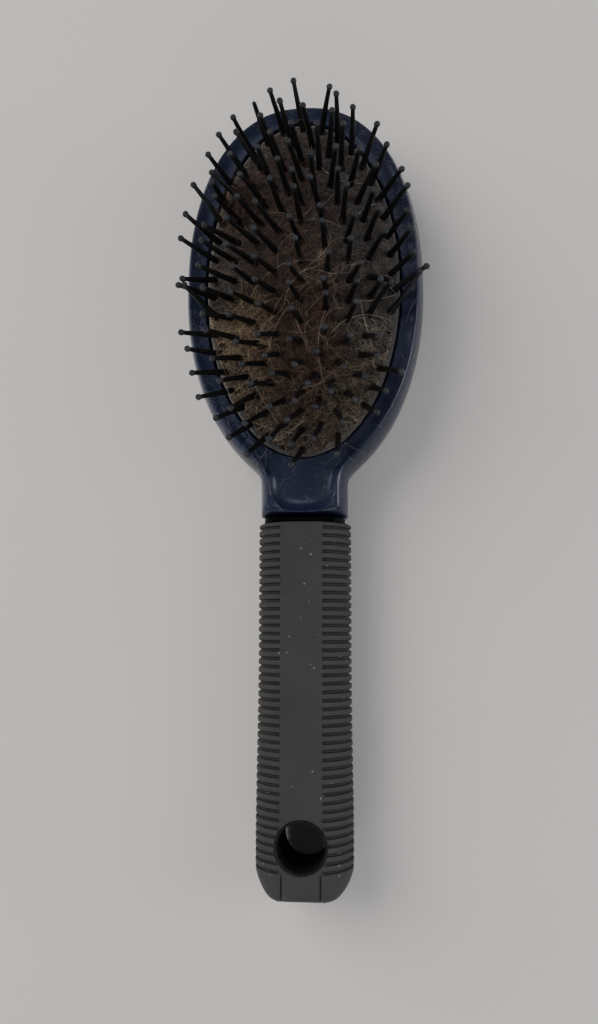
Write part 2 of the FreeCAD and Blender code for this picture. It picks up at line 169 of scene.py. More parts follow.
# Pins that have been pushed out of line: place on the pad, and extra lean across and along
BENT_PINS = [
    ((25.6, 55.7), (0.36, 0.42)),
    ((25.2, 50.1), (0.46, 0.72)),
    ((-20.5, 85.0), (0.42, -0.3)),
    ((-22.5, 80.0), (0.1, 0.42)),
    ((-25.2, 50.0), (-0.02, 0.42)),
    ((-17.0, 80.5), (-0.3, 0.25)),
    ((-25.6, 61.0), (0.06, -0.4)),
    ((20.0, 62.0), (0.2, -0.35)),
    ((19.0, 49.0), (0.05, 0.4)),
]
NO_BALL_PLACE = (-8.5, 104.0)
BENT_PIN_TOLERANCE = 2.3

# Grip: a round form with flat faces, ribbed sides, and a butt that narrows and rolls over
GRIP_TOP_Y = -10.2
GRIP_TOP_ROLL = 0.6
GRIP_TOP_ROLL_DEPTH = 0.5
BUTT_Y = -114.0
GRIP_RADIUS = 13.3
GRIP_BUTT_RADIUS = 13.8
GRIP_SWELL_START_Y = -50.0
GRIP_SWELL_Y = -98.0
GRIP_AXIS_Z = 12.0
GRIP_HALF_HEIGHT = 12.0
BUTT_START_Y = -104.6
BUTT_TAPER = 0.58
BUTT_TAPER_FULLNESS = 1.65
BUTT_ROLL_Y = -110.7
BUTT_FACE_GAP = 0.05
BUTT_ROWS = 26
STRIP_HALF_WIDTH = 5.75
RIB_PITCH = 2.265
RIB_COUNT = 42
RIB_ROUNDING = 0.30
RIB_END_START = 0.05
RIB_END_WIDTH = 0.26
FIRST_GROOVE_Y = -11.7
GROOVE_DEPTH = 0.42
GROOVE_EDGE = 0.46
GROOVE_FLOOR = 0.26
# GROOVE_SHADE, GROOVE_FLOOR_SHADE and NOTCH_SHADE are painted shade: they darken the grip's colour on the
# groove walls, on the groove floors and in the butt notches
GROOVE_SHADE = (1.0, 0.33, 0.13)
GROOVE_FLOOR_SHADE = 0.35
NOTCH_DEPTH = 0.62
NOTCH_START_Y = -104.0
NOTCH_FULL_Y = -106.5
NOTCH_SHARE = 0.925
NOTCH_WIDTH = 0.028
NOTCH_SHADE = 0.8

# Hanging hole and its liner
HOLE_Y = -98.3
HOLE_RADIUS = 6.6
HOLE_SIDES = 96
HOLE_FIT_GAP = 0.05
EYELET_WALL = 0.5
EYELET_LOW_Z = 0.35
EYELET_HIGH_Z = 23.65

# The collar's top edge as inset and height, and its rows as place along the brush and size
COLLAR_SHARE = 0.935
COLLAR_END_SHARE = 0.915
COLLAR_TOP = [(0.0, 14.0), (0.15, 15.5), (0.45, 17.0), (1.05, 18.9), (1.7, 20.1), (2.4, 20.8), (3.4, 21.1)]
COLLAR_ROWS = [
    (NECK_END_Y + 0.04, COLLAR_END_SHARE), (NECK_END_Y - 0.15, COLLAR_SHARE), (-9.3, COLLAR_SHARE - 0.004),
    (GRIP_TOP_Y + 0.25, COLLAR_SHARE), (GRIP_TOP_Y + 0.04, COLLAR_END_SHARE),
]

# Hair on the pad stays this far inside its edge
HAIR_MARGIN = 0.8

# Single hairs that lie over the bezel: start, and run across and along
LOOSE_HAIRS = [
    (-21, 22, 8.5, -16), (-16.5, 19, 6, -14), (-19, 17.5, 10.5, -9.5), (-12, 14.5, 1.5, -9),
    (-9, 13, -5, -8), (11.5, 13, 6.5, -4), (27.5, 30, 5, 3.5), (28.5, 38, 4.5, -6),
    (-30.5, 40, 4.5, 9), (-31.5, 52, 5, -7.5), (24, 88, 6, -5), (-14, 16, -3.5, -9.5),
    (-23.5, 24, 3, -8.5), (-7, 10.5, -7.5, -3), (4.5, 9.5, 8, 2.5), (7, 6.5, 4.5, 6.5),
    (12.5, 9, 3, 8), (29.5, 46, 3.5, 8), (30.5, 56, -3, 8.5), (19.5, 97, 8, -3),
    (27, 84, 2, -9), (-27.5, 28, 5.5, -3), (-28.5, 66, -3.5, 7), (15, 101, 5, 4),
]
LOOSE_HAIR_RADIUS = 0.017
LOOSE_HAIR_Z = 21.9
LOOSE_HAIR_ARCH = 0.7
LOOSE_HAIR_STEPS = 14

# ---- camera and light, in metres

CAMERA_PLACE = (0.02615, -0.03810, 0.28933)
CAMERA_TILT = 0.11407
CAMERA_ROLL = 0.10057
CAMERA_TWIST = 0.00216
CAMERA_LENS = 33.9
SENSOR_WIDTH = 36.0

LIGHT_TARGET = (0, 0.02, 0)
KEY_PLACE = (-0.75, 0.45, 0.70)
WARM_WHITE = (1.0, 0.975, 0.95)
COOL_WHITE = (0.94, 0.96, 1.0)
SKY_BLUE = (0.8, 0.88, 1.0)
FLOOR_HALF_SIZE = 2.5
FLOOR_DROP = 0.00015


# ---- small helpers

def link(name, data):
    """A new object in the scene, from a mesh, a camera or a light."""
    piece = bpy.data.objects.new(name, data)
    bpy.context.scene.collection.objects.link(piece)
    return piece


def mesh_piece(name, points, faces):
    """A mesh object from points in millimetres."""
    mesh = bpy.data.meshes.new(name)
    mesh.from_pydata([(x * MM, y * MM, z * MM) for x, y, z in points], [], faces)
    mesh.validate()
    mesh.polygons.foreach_set("use_smooth", [True] * len(mesh.polygons))
    mesh.update()
    return link(name, mesh)


def fix_normals(piece, weld=False):
    """Faces turned outwards, after points in the same place are joined if weld is set."""
    work = bmesh.new()
    work.from_mesh(piece.data)
    if weld:
        bmesh.ops.remove_doubles(work, verts=work.verts, dist=WELD_DISTANCE)
    bmesh.ops.recalc_face_normals(work, faces=work.faces)
    work.to_mesh(piece.data)
    work.free()


def store_values(piece, name, values):
    """One number for each point of a mesh, for its material to read."""
    piece.data.attributes.new(name, "FLOAT", "POINT").data.foreach_set("value", values)


def set_material(piece, material):
    piece.data.materials.clear()
    piece.data.materials.append(material)


def stitch_loops(loops, close_ends):
    """Points and quads for closed loops of equal length laid one after another."""
    count = len(loops[0])
    points = [p for loop in loops for p in loop]
    faces = []
    for row in range(len(loops) - 1):
        for k in range(count):
            after = (k + 1) % count
            a = row * count
            b = a + count
            faces.append((a + k, a + after, b + after, b + k))
    if close_ends:
        for row, loop in ((0, loops[0]), (len(loops) - 1, loops[-1])):
            middle = np.mean(np.array(loop), axis=0)
            points.append(tuple(middle))
            hub = len(points) - 1
            for k in range(count):
                faces.append((row * count + k, row * count + (k + 1) % count, hub))
    return points, faces


def lofted_piece(name, loops, round_again=False):
    """A piece skinned over loops, its ends closed, or its last loop joined round to its first."""
    if round_again:
        loops = loops + [loops[0]]
    points, faces = stitch_loops(loops, not round_again)
    piece = mesh_piece(name, points, faces)
    fix_normals(piece, weld=round_again)
    return piece


def apply_modifiers(piece):
    view = bpy.context.evaluated_depsgraph_get()
    mesh = bpy.data.meshes.new_from_object(piece.evaluated_get(view))
    piece.modifiers.clear()
    piece.data = mesh


def smooth_step(low, high, value):
    share = min(1.0, max(0.0, (value - low) / (high - low)))
    return share * share * (3 - 2 * share)


def soft_ring(gap, height, radius, width):
    """A rounded rise of a height and width at a radius, for a point at a gap from the middle."""
    return height * math.exp(-((gap - radius) / width) ** 2)


# ---- head outline

def half_width(y):
    if y >= HEAD_CENTRE_Y:
        share = min(1.0, (y - HEAD_CENTRE_Y) / (TIP_Y - HEAD_CENTRE_Y))
        return HEAD_HALF_WIDTH * (1.0 - share ** TIP_FULLNESS) ** (1.0 / TIP_FULLNESS)
    share = min(1.0, (HEAD_CENTRE_Y - y) / HEAD_ROOT_REACH)
    oval = HEAD_HALF_WIDTH * (1.0 - share ** ROOT_FULLNESS) ** (1.0 / ROOT_FULLNESS)
    return (oval ** NECK_BLEND + NECK_HALF_WIDTH ** NECK_BLEND) ** (1.0 / NECK_BLEND)


def share_of_inset(y):
    """The ridge lies well inside the neck's outline, and close to the outline round the head."""
    return 1.0 - INSET_LOSS * smooth_step(INSET_LOSS_START_Y, INSET_LOSS_END_Y, y)


def right_side(inset):
    """Points up the outline's right side, drawn in along its normal."""
    raw = []
    for step in range(SIDE_STEPS + 1):
        share = step / SIDE_STEPS
        rise = EVEN_SHARE * share + (1 - EVEN_SHARE) * math.sin(share * math.pi / 2)
        y = NECK_END_Y + (TIP_Y - NECK_END_Y) * rise
        raw.append((half_width(y), y))
    raw[-1] = (0.0, TIP_Y)
    side = []
    for index, (x, y) in enumerate(raw):
        before = raw[max(0, index - 1)]
        after = raw[min(len(raw) - 1, index + 1)]
        run_x = after[0] - before[0]
        run_y = after[1] - before[1]
        run = math.hypot(run_x, run_y)
        normal = (run_y / run, -run_x / run)
        if index == 0:
            normal = (1.0, 0.0)
        if index == len(raw) - 1:
            normal = (0.0, 1.0)
        drawn_in = inset * share_of_inset(y)
        side.append((x - drawn_in * normal[0], y - drawn_in * normal[1]))
    return side


def outline_loop(inset, end_y, corner, squareness, width_share=1.0, tip_share=1.0):
    """The closed head and neck outline, its neck end rounded off at end_y, as (x, y) points."""
    side = [p for p in right_side(inset) if p[1] > end_y + corner + 0.3]
    start_x = side[0][0]
    turn = []
    for step in range(CORNER_STEPS + 1):
        angle = math.pi / 2 * (1 - step / CORNER_STEPS)
        out = math.cos(angle) ** (2 / squareness)
        down = math.sin(angle) ** (2 / squareness)
        turn.append((start_x * out, end_y + corner * (1 - down)))
    right = []
    for x, y in turn + resample(side, SIDE_POINTS):
        if y >= HEAD_CENTRE_Y:
            y = HEAD_CENTRE_Y + (y - HEAD_CENTRE_Y) * tip_share
        right.append((x * width_share, y))
    left = [(-x, y) for x, y in reversed(right[1:-1])]
    return right + left


def resample(points, count):
    """Evenly spaced points along a line, its ends kept."""
    line = np.array(points)
    run = np.concatenate([[0.0], np.cumsum(np.hypot(*np.diff(line, axis=0).T))])
    at = np.linspace(0, run[-1], count)
    return list(zip(np.interp(at, run, line[:, 0]), np.interp(at, run, line[:, 1])))


# ---- materials

class Nodes:
    """Short calls for building a procedural material."""

    def __init__(self, name):
        self.material = bpy.data.materials.new(name)
        self.material.use_nodes = True
        self.tree = self.material.node_tree
        self.shader = self.tree.nodes["Principled BSDF"]
        self.place = self.add("ShaderNodeTexCoord").outputs["Object"]

    def add(self, kind, **settings):
        node = self.tree.nodes.new(kind)
        for key, value in settings.items():
            setattr(node, key, value)
        return node

    def join(self, output, socket):
        self.tree.links.new(output, socket)

    def scaled(self, scale, turn=(0, 0, 0)):
        mapping = self.add("ShaderNodeMapping", vector_type="TEXTURE")
        mapping.inputs["Scale"].default_value = [1 / share for share in scale]
        mapping.inputs["Rotation"].default_value = turn
        self.join(self.place, mapping.inputs["Vector"])
        return mapping.outputs["Vector"]

    def noise(self, scale, detail=4.0, roughness=0.55, vector=None):
        node = self.add("ShaderNodeTexNoise")
        node.inputs["Scale"].default_value = scale
        node.inputs["Detail"].default_value = detail
        node.inputs["Roughness"].default_value = roughness
        self.join(vector or self.place, node.inputs["Vector"])
        return node.outputs["Fac"]

    def cells(self, scale, feature="F1"):
        node = self.add("ShaderNodeTexVoronoi", feature=feature)
        node.inputs["Scale"].default_value = scale
        self.join(self.place, node.inputs["Vector"])
        return node.outputs["Distance"]

    def ramp(self, value, stops):
        """A colour ramp: stops are (place, colour or grey)."""
        node = self.add("ShaderNodeValToRGB")
        elements = node.color_ramp.elements
        while len(elements) < len(stops):
            elements.new(0.5)
        for element, (place, colour) in zip(elements, stops):
            element.position = place
            if isinstance(colour, (int, float)):
                colour = (colour, colour, colour)
            element.color = (*colour, 1.0)
        self.join(value, node.inputs["Fac"])
        return node.outputs["Color"]

    def mix(self, factor, a, b, blend="MIX"):
        node = self.add("ShaderNodeMix", data_type="RGBA", blend_type=blend)
        self.feed(node.inputs["Factor"], factor)
        self.feed(node.inputs["A"], a)
        self.feed(node.inputs["B"], b)
        return node.outputs["Result"]

    def feed(self, socket, value):
        if isinstance(value, bpy.types.NodeSocket):
            self.join(value, socket)
        elif isinstance(value, tuple):
            socket.default_value = (*value, 1.0)
        else:
            socket.default_value = value

    def math(self, operation, a, b=0.0):
        node = self.add("ShaderNodeMath", operation=operation)
        self.feed(node.inputs[0], a)
        self.feed(node.inputs[1], b)
        return node.outputs[0]

    def tint(self, colour, mask, amount, other):
        """A colour with an amount of another where the mask is white."""
        return self.mix(self.math("MULTIPLY", mask, amount), colour, other)

    def plus(self, base, value, amount):
        return self.math("ADD", base, self.math("MULTIPLY", value, amount))

    def attribute(self, name):
        return self.add("ShaderNodeAttribute", attribute_name=name).outputs["Fac"]

    def bump(self, height, strength, distance, below=None):
        node = self.add("ShaderNodeBump")
        node.inputs["Strength"].default_value = strength
        node.inputs["Distance"].default_value = distance
        self.join(height, node.inputs["Height"])
        if below is not None:
            self.join(below, node.inputs["Normal"])
        return node.outputs["Normal"]

    def finish(self, colour, roughness, normal=None, **fixed):
        self.feed(self.shader.inputs["Base Color"], colour)
        self.feed(self.shader.inputs["Roughness"], roughness)
        if normal is not None:
            self.join(normal, self.shader.inputs["Normal"])
        for key, value in fixed.items():
            self.shader.inputs[key.replace("_", " ")].default_value = value
        return self.material


def navy_plastic():
    """Semi-gloss navy ABS with cloudy tone, fine scratches and a scatter of dust."""
    look = Nodes("navy_abs")
    cloud = look.noise(60, 3)
    base = look.ramp(cloud, [(0.3, (0.0080, 0.0105, 0.027)), (0.7, (0.0130, 0.0165, 0.039))])
    long_way = look.scaled((950, 80, 400), (0, 0, 0.7))
    cross_way = look.scaled((80, 900, 400), (0, 0, -0.35))
    scratch_a = look.ramp(look.noise(1.0, 2, 0.4, long_way), [(0.68, 0.0), (0.73, 1.0)])
    scratch_b = look.ramp(look.noise(1.0, 2, 0.4, cross_way), [(0.69, 0.0), (0.74, 1.0)])
    scratches = look.math("MAXIMUM", scratch_a, scratch_b)
    dust_zone = look.ramp(look.noise(55, 4), [(0.46, 0.0), (0.64, 1.0)])
    specks = look.ramp(look.cells(1500), [(0.14, 1.0), (0.30, 0.0)])
    dust = look.math("MULTIPLY", dust_zone, specks)
    colour = look.tint(base, scratches, 0.28, (0.075, 0.085, 0.115))
    colour = look.tint(colour, dust, 0.7, (0.25, 0.24, 0.235))
    rough = look.plus(0.20, cloud, 0.12)
    rough = look.plus(rough, dust_zone, 0.09)
    rough = look.plus(rough, scratches, 0.10)
    ripple = look.bump(look.noise(220, 3), 0.04, 0.0004)
    normal = look.bump(scratches, 0.12, 0.0001, ripple)
    return look.finish(colour, rough, normal, Specular_IOR_Level=0.38)


def pad_rubber():
    """Dusty rubber under a felt of lint: grey-brown with olive and rusty patches."""
    look = Nodes("pad_rubber_lint")
    patches = look.noise(70, 5, 0.6)
    browns = [(0.3, (0.005, 0.004, 0.0035)), (0.5, (0.019, 0.0145, 0.0115)), (0.72, (0.052, 0.040, 0.031))]
    base = look.ramp(patches, browns)
    rust = look.ramp(look.noise(45, 3), [(0.45, 0.0), (0.7, 1.0)])
    base = look.tint(base, rust, 0.5, (0.070, 0.040, 0.026))
    fine = look.noise(900, 4, 0.7)
    colour = look.mix(0.75, base, look.ramp(fine, [(0.3, 0.25), (0.7, 1.0)]), "MULTIPLY")
    thread = look.cells(700, "DISTANCE_TO_EDGE")
    threads = look.ramp(thread, [(0.0, 1.0), (0.10, 0.0)])
    colour = look.tint(colour, threads, 0.35, (0.12, 0.098, 0.074))
    coarse = look.bump(look.noise(350, 5, 0.7), 0.7, 0.0009)
    normal = look.bump(threads, 0.5, 0.0003, coarse)
    return look.finish(colour, 0.93, normal, Sheen_Weight=0.25, Sheen_Roughness=0.6)


def pin_nylon():
    """Black nylon, with dry grey grime on the ball tips."""
    look = Nodes("pin_nylon")
    tip = look.attribute("tip")
    mottle = look.noise(500, 3)
    shaft = look.ramp(mottle, [(0.3, (0.0025, 0.0025, 0.003)), (0.75, (0.007, 0.0065, 0.0065))])
    ball = look.ramp(mottle, [(0.3, (0.009, 0.0095, 0.011)), (0.75, (0.030, 0.031, 0.034))])
    dusty = look.ramp(look.noise(1800, 3), [(0.62, 0.0), (0.75, 1.0)])
    colour = look.mix(tip, shaft, ball)
    colour = look.tint(colour, dusty, 0.14, (0.09, 0.075, 0.06))
    rough = look.plus(0.33, mottle, 0.2)
    normal = look.bump(look.noise(1500, 3), 0.15, 0.0002)
    return look.finish(colour, rough, normal, Specular_IOR_Level=0.22)


def grip_rubber():
    """Matte dark grey rubber with tiny pale specks, and painted shade that darkens the rib grooves and the
    butt notches.
    """
    look = Nodes("grip_rubber")
    groove = look.attribute("groove")
    tone = look.noise(45, 4)
    base = look.ramp(tone, [(0.3, (0.0215, 0.0212, 0.0205)), (0.7, (0.030, 0.0292, 0.028))])
    # painted shade: the groove attribute blends the colour towards near black on the groove walls and floors
    # and in the notches
    base = look.mix(groove, base, (0.0045, 0.0045, 0.0045))
    grain = look.noise(1600, 3, 0.6)
    base = look.mix(0.35, base, look.ramp(grain, [(0.3, 0.55), (0.7, 1.0)]), "MULTIPLY")
    speck_zone = look.ramp(look.noise(140, 2), [(0.5, 0.0), (0.6, 1.0)])
    specks = look.math("MULTIPLY", look.ramp(look.cells(420), [(0.06, 1.0), (0.12, 0.0)]), speck_zone)
    colour = look.tint(base, specks, 0.7, (0.30, 0.29, 0.27))
    normal = look.bump(grain, 0.25, 0.00025)
    normal = look.bump(look.noise(90, 3), 0.12, 0.0006, normal)
    rough = look.plus(0.62, tone, 0.18)
    return look.finish(colour, rough, normal, Specular_IOR_Level=0.40)


def black_plastic(name, roughness, shine, recess_shade_scale=1.0):
    """Black plastic with a little dust; its last argument scales the colour and the dust down as painted
    shade, for a part that sits in a recess.
    """
    look = Nodes(name)
    tone = look.noise(300, 4)
    # painted shade: colour and dust are scaled down for a part in a recess
    colour = look.ramp(tone, [(0.3, (0.0035 * recess_shade_scale,) * 3), (0.75, (0.009 * recess_shade_scale,) * 3)])
    dust = look.ramp(look.noise(700, 3), [(0.6, 0.0), (0.78, 1.0)])
    colour = look.tint(colour, dust, 0.18 * recess_shade_scale, (0.07, 0.065, 0.06))
    rough = look.plus(roughness, tone, 0.15)
    return look.finish(colour, rough, look.bump(tone, 0.1, 0.0003), Specular_IOR_Level=shine)


def hair_fibre(name, dark, light, roughness=0.6):
    """Hair whose tone runs between two colours by strand."""
    look = Nodes(name)
    strand = look.attribute("tone")
    colour = look.ramp(strand, [(0.0, dark), (1.0, light)])
    patch = look.noise(800, 2)
    colour = look.mix(0.4, colour, look.ramp(patch, [(0.3, 0.5), (0.7, 1.0)]), "MULTIPLY")
    rough = look.plus(roughness, patch, 0.1)
    return look.finish(colour, rough, look.bump(patch, 0.1, 0.0001))


def pale_floor():
    look = Nodes("pale_floor")
    tone = look.noise(6, 3)
    return look.finish(look.ramp(tone, [(0.3, (0.60, 0.575, 0.55)), (0.7, (0.64, 0.615, 0.59))]), 0.92)


# ---- head shell and bezel

def wall_loop(end_y, width_share=1.0, tip_share=1.0):
    """The outline at the outer wall, square across the neck's end."""
    return outline_loop(0.0, end_y, NECK_END_CORNER, NECK_END_SQUARENESS, width_share, tip_share)


def seam_loop(gap=0.0):
    """The seam's outline, drawn in by a gap."""
    return outline_loop(SEAM_INSET + gap, SEAM_END_Y + gap, SEAM_CORNER, SEAM_SQUARENESS)


def opening_point(x, y):
    """The point of the pad's oval opening that faces a point of the outline."""
    angle = math.atan2((y - HEAD_CENTRE_Y) / HEAD_ROOT_REACH, x / HEAD_HALF_WIDTH)
    across = (PAD_HALF_X + PAD_GAP) * math.cos(angle)
    along = (PAD_HALF_Y + PAD_GAP) * math.sin(angle)
    return across, HEAD_CENTRE_Y + along


def head_shell_piece():
    """Back, wall and rounded top edge of the head and neck, the bezel's pocket and the air chamber."""
    loops = []
    for step in range(BACK_STEPS + 1):
        angle = math.pi / 2 * step / BACK_STEPS
        rise = math.sin(angle)
        width_share = BACK_FLAT_SHARE + (1 - BACK_FLAT_SHARE) * rise
        tip_share = BACK_TIP_SHARE + (1 - BACK_TIP_SHARE) * rise
        z = WALL_BOTTOM_Z * (1 - math.cos(angle))
        flat_loop = wall_loop(NECK_END_Y + NECK_END_ROUNDING, width_share, tip_share)
        loops.append([(x, y, z) for x, y in flat_loop])
    outer = wall_loop(NECK_END_Y + WALL_END_GAP)
    seam = seam_loop()
    for step in range(TOP_EDGE_STEPS + 1):
        across = math.sin(math.pi / 2 * step / TOP_EDGE_STEPS) ** TOP_EDGE_CROWDING
        rise = (1 - (1 - across) ** TOP_EDGE_FULLNESS) ** (1 / TOP_EDGE_FULLNESS)
        z = TOP_EDGE_START_Z + (SEAM_Z - TOP_EDGE_START_Z) * rise
        loops.append([(ox + (sx - ox) * across, oy + (sy - oy) * across, z)
                      for (ox, oy), (sx, sy) in zip(outer, seam)])
    lip = seam_loop(LIP_GAP)
    chamber = [opening_point(x, y) for x, y in lip]
    shelf_z = POCKET_Z - POCKET_SHELF_DROP
    pocket = [(lip, SEAM_Z - LIP_DROP), (lip, shelf_z), (chamber, shelf_z), (chamber, CHAMBER_FLOOR_Z)]
    for flat_loop, z in pocket:
        loops.append([(x, y, z) for x, y in flat_loop])
    return lofted_piece("head_shell_moulding", loops)


def distance_to_loop(loop, points):
    """Distance of each point from a closed loop of straight runs."""
    starts = np.array(loop)
    runs = np.roll(starts, -1, axis=0) - starts
    away = np.array(points)[:, None, :] - starts[None, :, :]
    share = np.clip((away * runs).sum(axis=2) / (runs * runs).sum(axis=1), 0, 1)
    return np.linalg.norm(away - share[:, :, None] * runs, axis=2).min(axis=1)


def face_height(x, y, away):
    """Height of the bezel's face at a distance from its seam: crest, dish, and the neck's scoop."""
    dished = DISH_Z + (CREST_Z - DISH_Z) * math.exp(-((away / CREST_WIDTH) ** CREST_SHARPNESS))
    wide = half_width(y) - SEAM_INSET * share_of_inset(y)
    low = max(0.0, SCOOP_CENTRE_Y - y) / (SCOOP_CENTRE_Y - SEAM_END_Y)
    reach = (abs(x) / wide) ** SCOOP_SQUARENESS + low ** SCOOP_SQUARENESS
    hollow = max(0.0, 1 - reach ** SCOOP_FULLNESS) * (1 - math.exp(-((away / SCOOP_EDGE_WIDTH) ** 2)))
    bowl = CREST_Z - SCOOP_DEPTH * hollow
    return dished + (bowl - dished) * smooth_step(SCOOP_START_Y, SCOOP_FULL_Y, y)


def bezel_piece():
    """The dished face with its crest, the pad's opening and the neck's scoop."""
    outer = seam_loop(BEZEL_GAP)
    inner = [opening_point(x, y) for x, y in outer]
    loops = [[(x, y, z) for x, y in outer] for z in (POCKET_Z, SEAM_Z - BEZEL_EDGE_DROP)]
    near = BEZEL_CREST_STEPS
    for step in range(len(near) + BEZEL_DISH_STEPS):
        flat_loop = []
        for (ox, oy), (ix, iy) in zip(outer, inner):
            width = math.hypot(ix - ox, iy - oy)
            if step < len(near):
                away = near[step]
            else:
                room = width - OPENING_CHAMFER - near[-1]
                away = near[-1] + room * (step - len(near) + 1) / BEZEL_DISH_STEPS
            share = away / width
            flat_loop.append((ox + (ix - ox) * share, oy + (iy - oy) * share))
        gaps = distance_to_loop(outer, flat_loop)
        loops.append([(x, y, face_height(x, y, gap)) for (x, y), gap in zip(flat_loop, gaps)])
    for z in [DISH_Z - drop for drop in OPENING_DROPS] + [POCKET_Z]:
        loops.append([(x, y, z) for x, y in inner])
    return lofted_piece("bezel_moulding", loops, round_again=True)


# ---- cushion pad

def pad_height(x, y):
    across = (PAD_HALF_X ** 2 + PAD_CROWN ** 2) / (2 * PAD_CROWN)
    along = (PAD_HALF_Y ** 2 + PAD_CROWN ** 2) / (2 * PAD_CROWN)
    reach = math.sqrt(across ** 2 - x ** 2) + along - across
    return PAD_EDGE_Z + PAD_CROWN - along + math.sqrt(reach ** 2 - (y - HEAD_CENTRE_Y) ** 2)


def ring_places(half_x, half_y, count, phase):
    slices = 720
    angles = (np.arange(slices) + 0.5) * 2 * math.pi / slices
    speed = np.hypot(half_x * np.sin(angles), half_y * np.cos(angles))
    run = np.concatenate([[0.0], np.cumsum(speed)])
    targets = (np.arange(count) + phase) / count * run[-1]
    turns = np.interp(targets, run, np.linspace(0, 2 * math.pi, slices + 1))
    return [(half_x * math.cos(a), HEAD_CENTRE_Y + half_y * math.sin(a)) for a in turns]


def hole_places():
    """Every hole in the pad, and whether it still holds a pin."""
    places = []
    for ring, count in enumerate(RING_COUNTS):
        ring_half_x = RING_HALF_X - ring * RING_STEP_X
        ring_half_y = RING_HALF_Y - ring * RING_STEP_Y
        for number, (x, y) in enumerate(ring_places(ring_half_x, ring_half_y, count, RING_PHASES[ring])):
            places.append((x, y, not (ring == 0 and number in LOST_PINS)))
    for number in range(CENTRE_ROW_COUNT):
        offset = (number - (CENTRE_ROW_COUNT - 1) / 2) * CENTRE_ROW_PITCH
        places.append((0.0, HEAD_CENTRE_Y + offset, True))
    return places


def disc_grid(steps_x, steps_y):
    """A square grid bent into a disc of radius one, with even cells."""
    nodes = []
    for j in range(steps_y + 1):
        for i in range(steps_x + 1):
            a = 2 * i / steps_x - 1
            b = 2 * j / steps_y - 1
            nodes.append((a * math.sqrt(1 - b * b / 2), b * math.sqrt(1 - a * a / 2)))
    return nodes


def rumple(x, y, seed_value):
    """Gentle seeded waviness, in about -1 to 1."""
    total = 0.0
    for k in range(4):
        angle = seed_value * 1.7 + k * 2.4
        pitch = 0.55 + 0.42 * k
        run = x * math.cos(angle) + y * math.sin(angle)
        total += math.sin(pitch * run + seed_value * k) / (1 + 0.6 * k)
    return total / 2.2


def skin_height(x, y, out, holes):
    """Height of the pad's skin, out being 0 at its middle and 1 at its edge."""
    z = pad_height(x, y)
    away = np.hypot(holes[:, 0] - x, holes[:, 1] - y)
    near = int(np.argmin(away))
    gap = away[near]
    if holes[near, 2] > 0.5:
        z += soft_ring(gap, *PIN_LIP) + soft_ring(gap, *PIN_DIP)
    else:
        z += soft_ring(gap, *PIT_LIP)
        z -= PIT_DEPTH * smooth_step(PIT_MOUTH_RADIUS, PIT_FLOOR_RADIUS, gap)
    if out < PAD_WAVY_SHARE:
        z += 0.10 * rumple(x, y, 1.3) + 0.06 * rumple(2.7 * x, 2.7 * y, 4.1)
    edge = (1 - out) * PAD_HALF_X
    if edge < PAD_ROLL_WIDTH:
        z -= PAD_ROLL_DROP * (1 - edge / PAD_ROLL_WIDTH) ** 2
    return z


def pad_piece(places):
    """The rubber dome with its skirt, hollow underneath."""
    points = []
    holes = np.array([(x, y, 1.0 if filled else 0.0) for x, y, filled in places])
    for u, v in disc_grid(PAD_STEPS_X, PAD_STEPS_Y):
        x = u * (PAD_HALF_X - PAD_EDGE_GAP)
        y = HEAD_CENTRE_Y + v * (PAD_HALF_Y - PAD_EDGE_GAP)
        points.append((x, y, skin_height(x, y, math.hypot(u, v), holes)))
    wide = PAD_STEPS_X + 1
    faces = []
    for j in range(PAD_STEPS_Y):
        for i in range(PAD_STEPS_X):
            a = j * wide + i
            faces.append((a, a + 1, a + wide + 1, a + wide))
    rim = list(range(wide))
    rim += [j * wide + PAD_STEPS_X for j in range(1, PAD_STEPS_Y + 1)]
    rim += [PAD_STEPS_Y * wide + i for i in range(PAD_STEPS_X - 1, -1, -1)]
    rim += [j * wide for j in range(PAD_STEPS_Y - 1, 0, -1)]
    rim_places = [points[index][:2] for index in rim]
    before = rim
    for share in [1.0, PAD_SKIRT_SHARE] + UNDERSIDE_SHARES:
        ring = list(range(len(points), len(points) + len(rim)))
        for x, y in rim_places:
            x, y = x * share, HEAD_CENTRE_Y + (y - HEAD_CENTRE_Y) * share
            under = pad_height(x, y) - PAD_THICKNESS
            points.append((x, y, PAD_FOOT_Z if share >= PAD_SKIRT_SHARE else under))
        for k in range(len(rim)):
            after = (k + 1) % len(rim)
            faces.append((before[k], ring[k], ring[after], before[after]))
        before = ring
    middle = len(points)
    points.append((0.0, HEAD_CENTRE_Y, pad_height(0.0, HEAD_CENTRE_Y) - PAD_THICKNESS))
    for k in range(len(rim)):
        faces.append((before[k], middle, before[(k + 1) % len(rim)]))
    piece = mesh_piece("cushion_pad_rubber", points, faces)
    fix_normals(piece)
    return piece


# ---- pins

def strip_number(x):
    nearest = min(int(math.floor(abs(x) / STRIP_WIDTH + 0.5)), STRIPS_EACH_SIDE)
    return -nearest if x < 0 else nearest


def strip_name(number):
    if number == 0:
        return "pins_middle"
    return "pins_" + ("right" if number > 0 else "left") + str(abs(number))


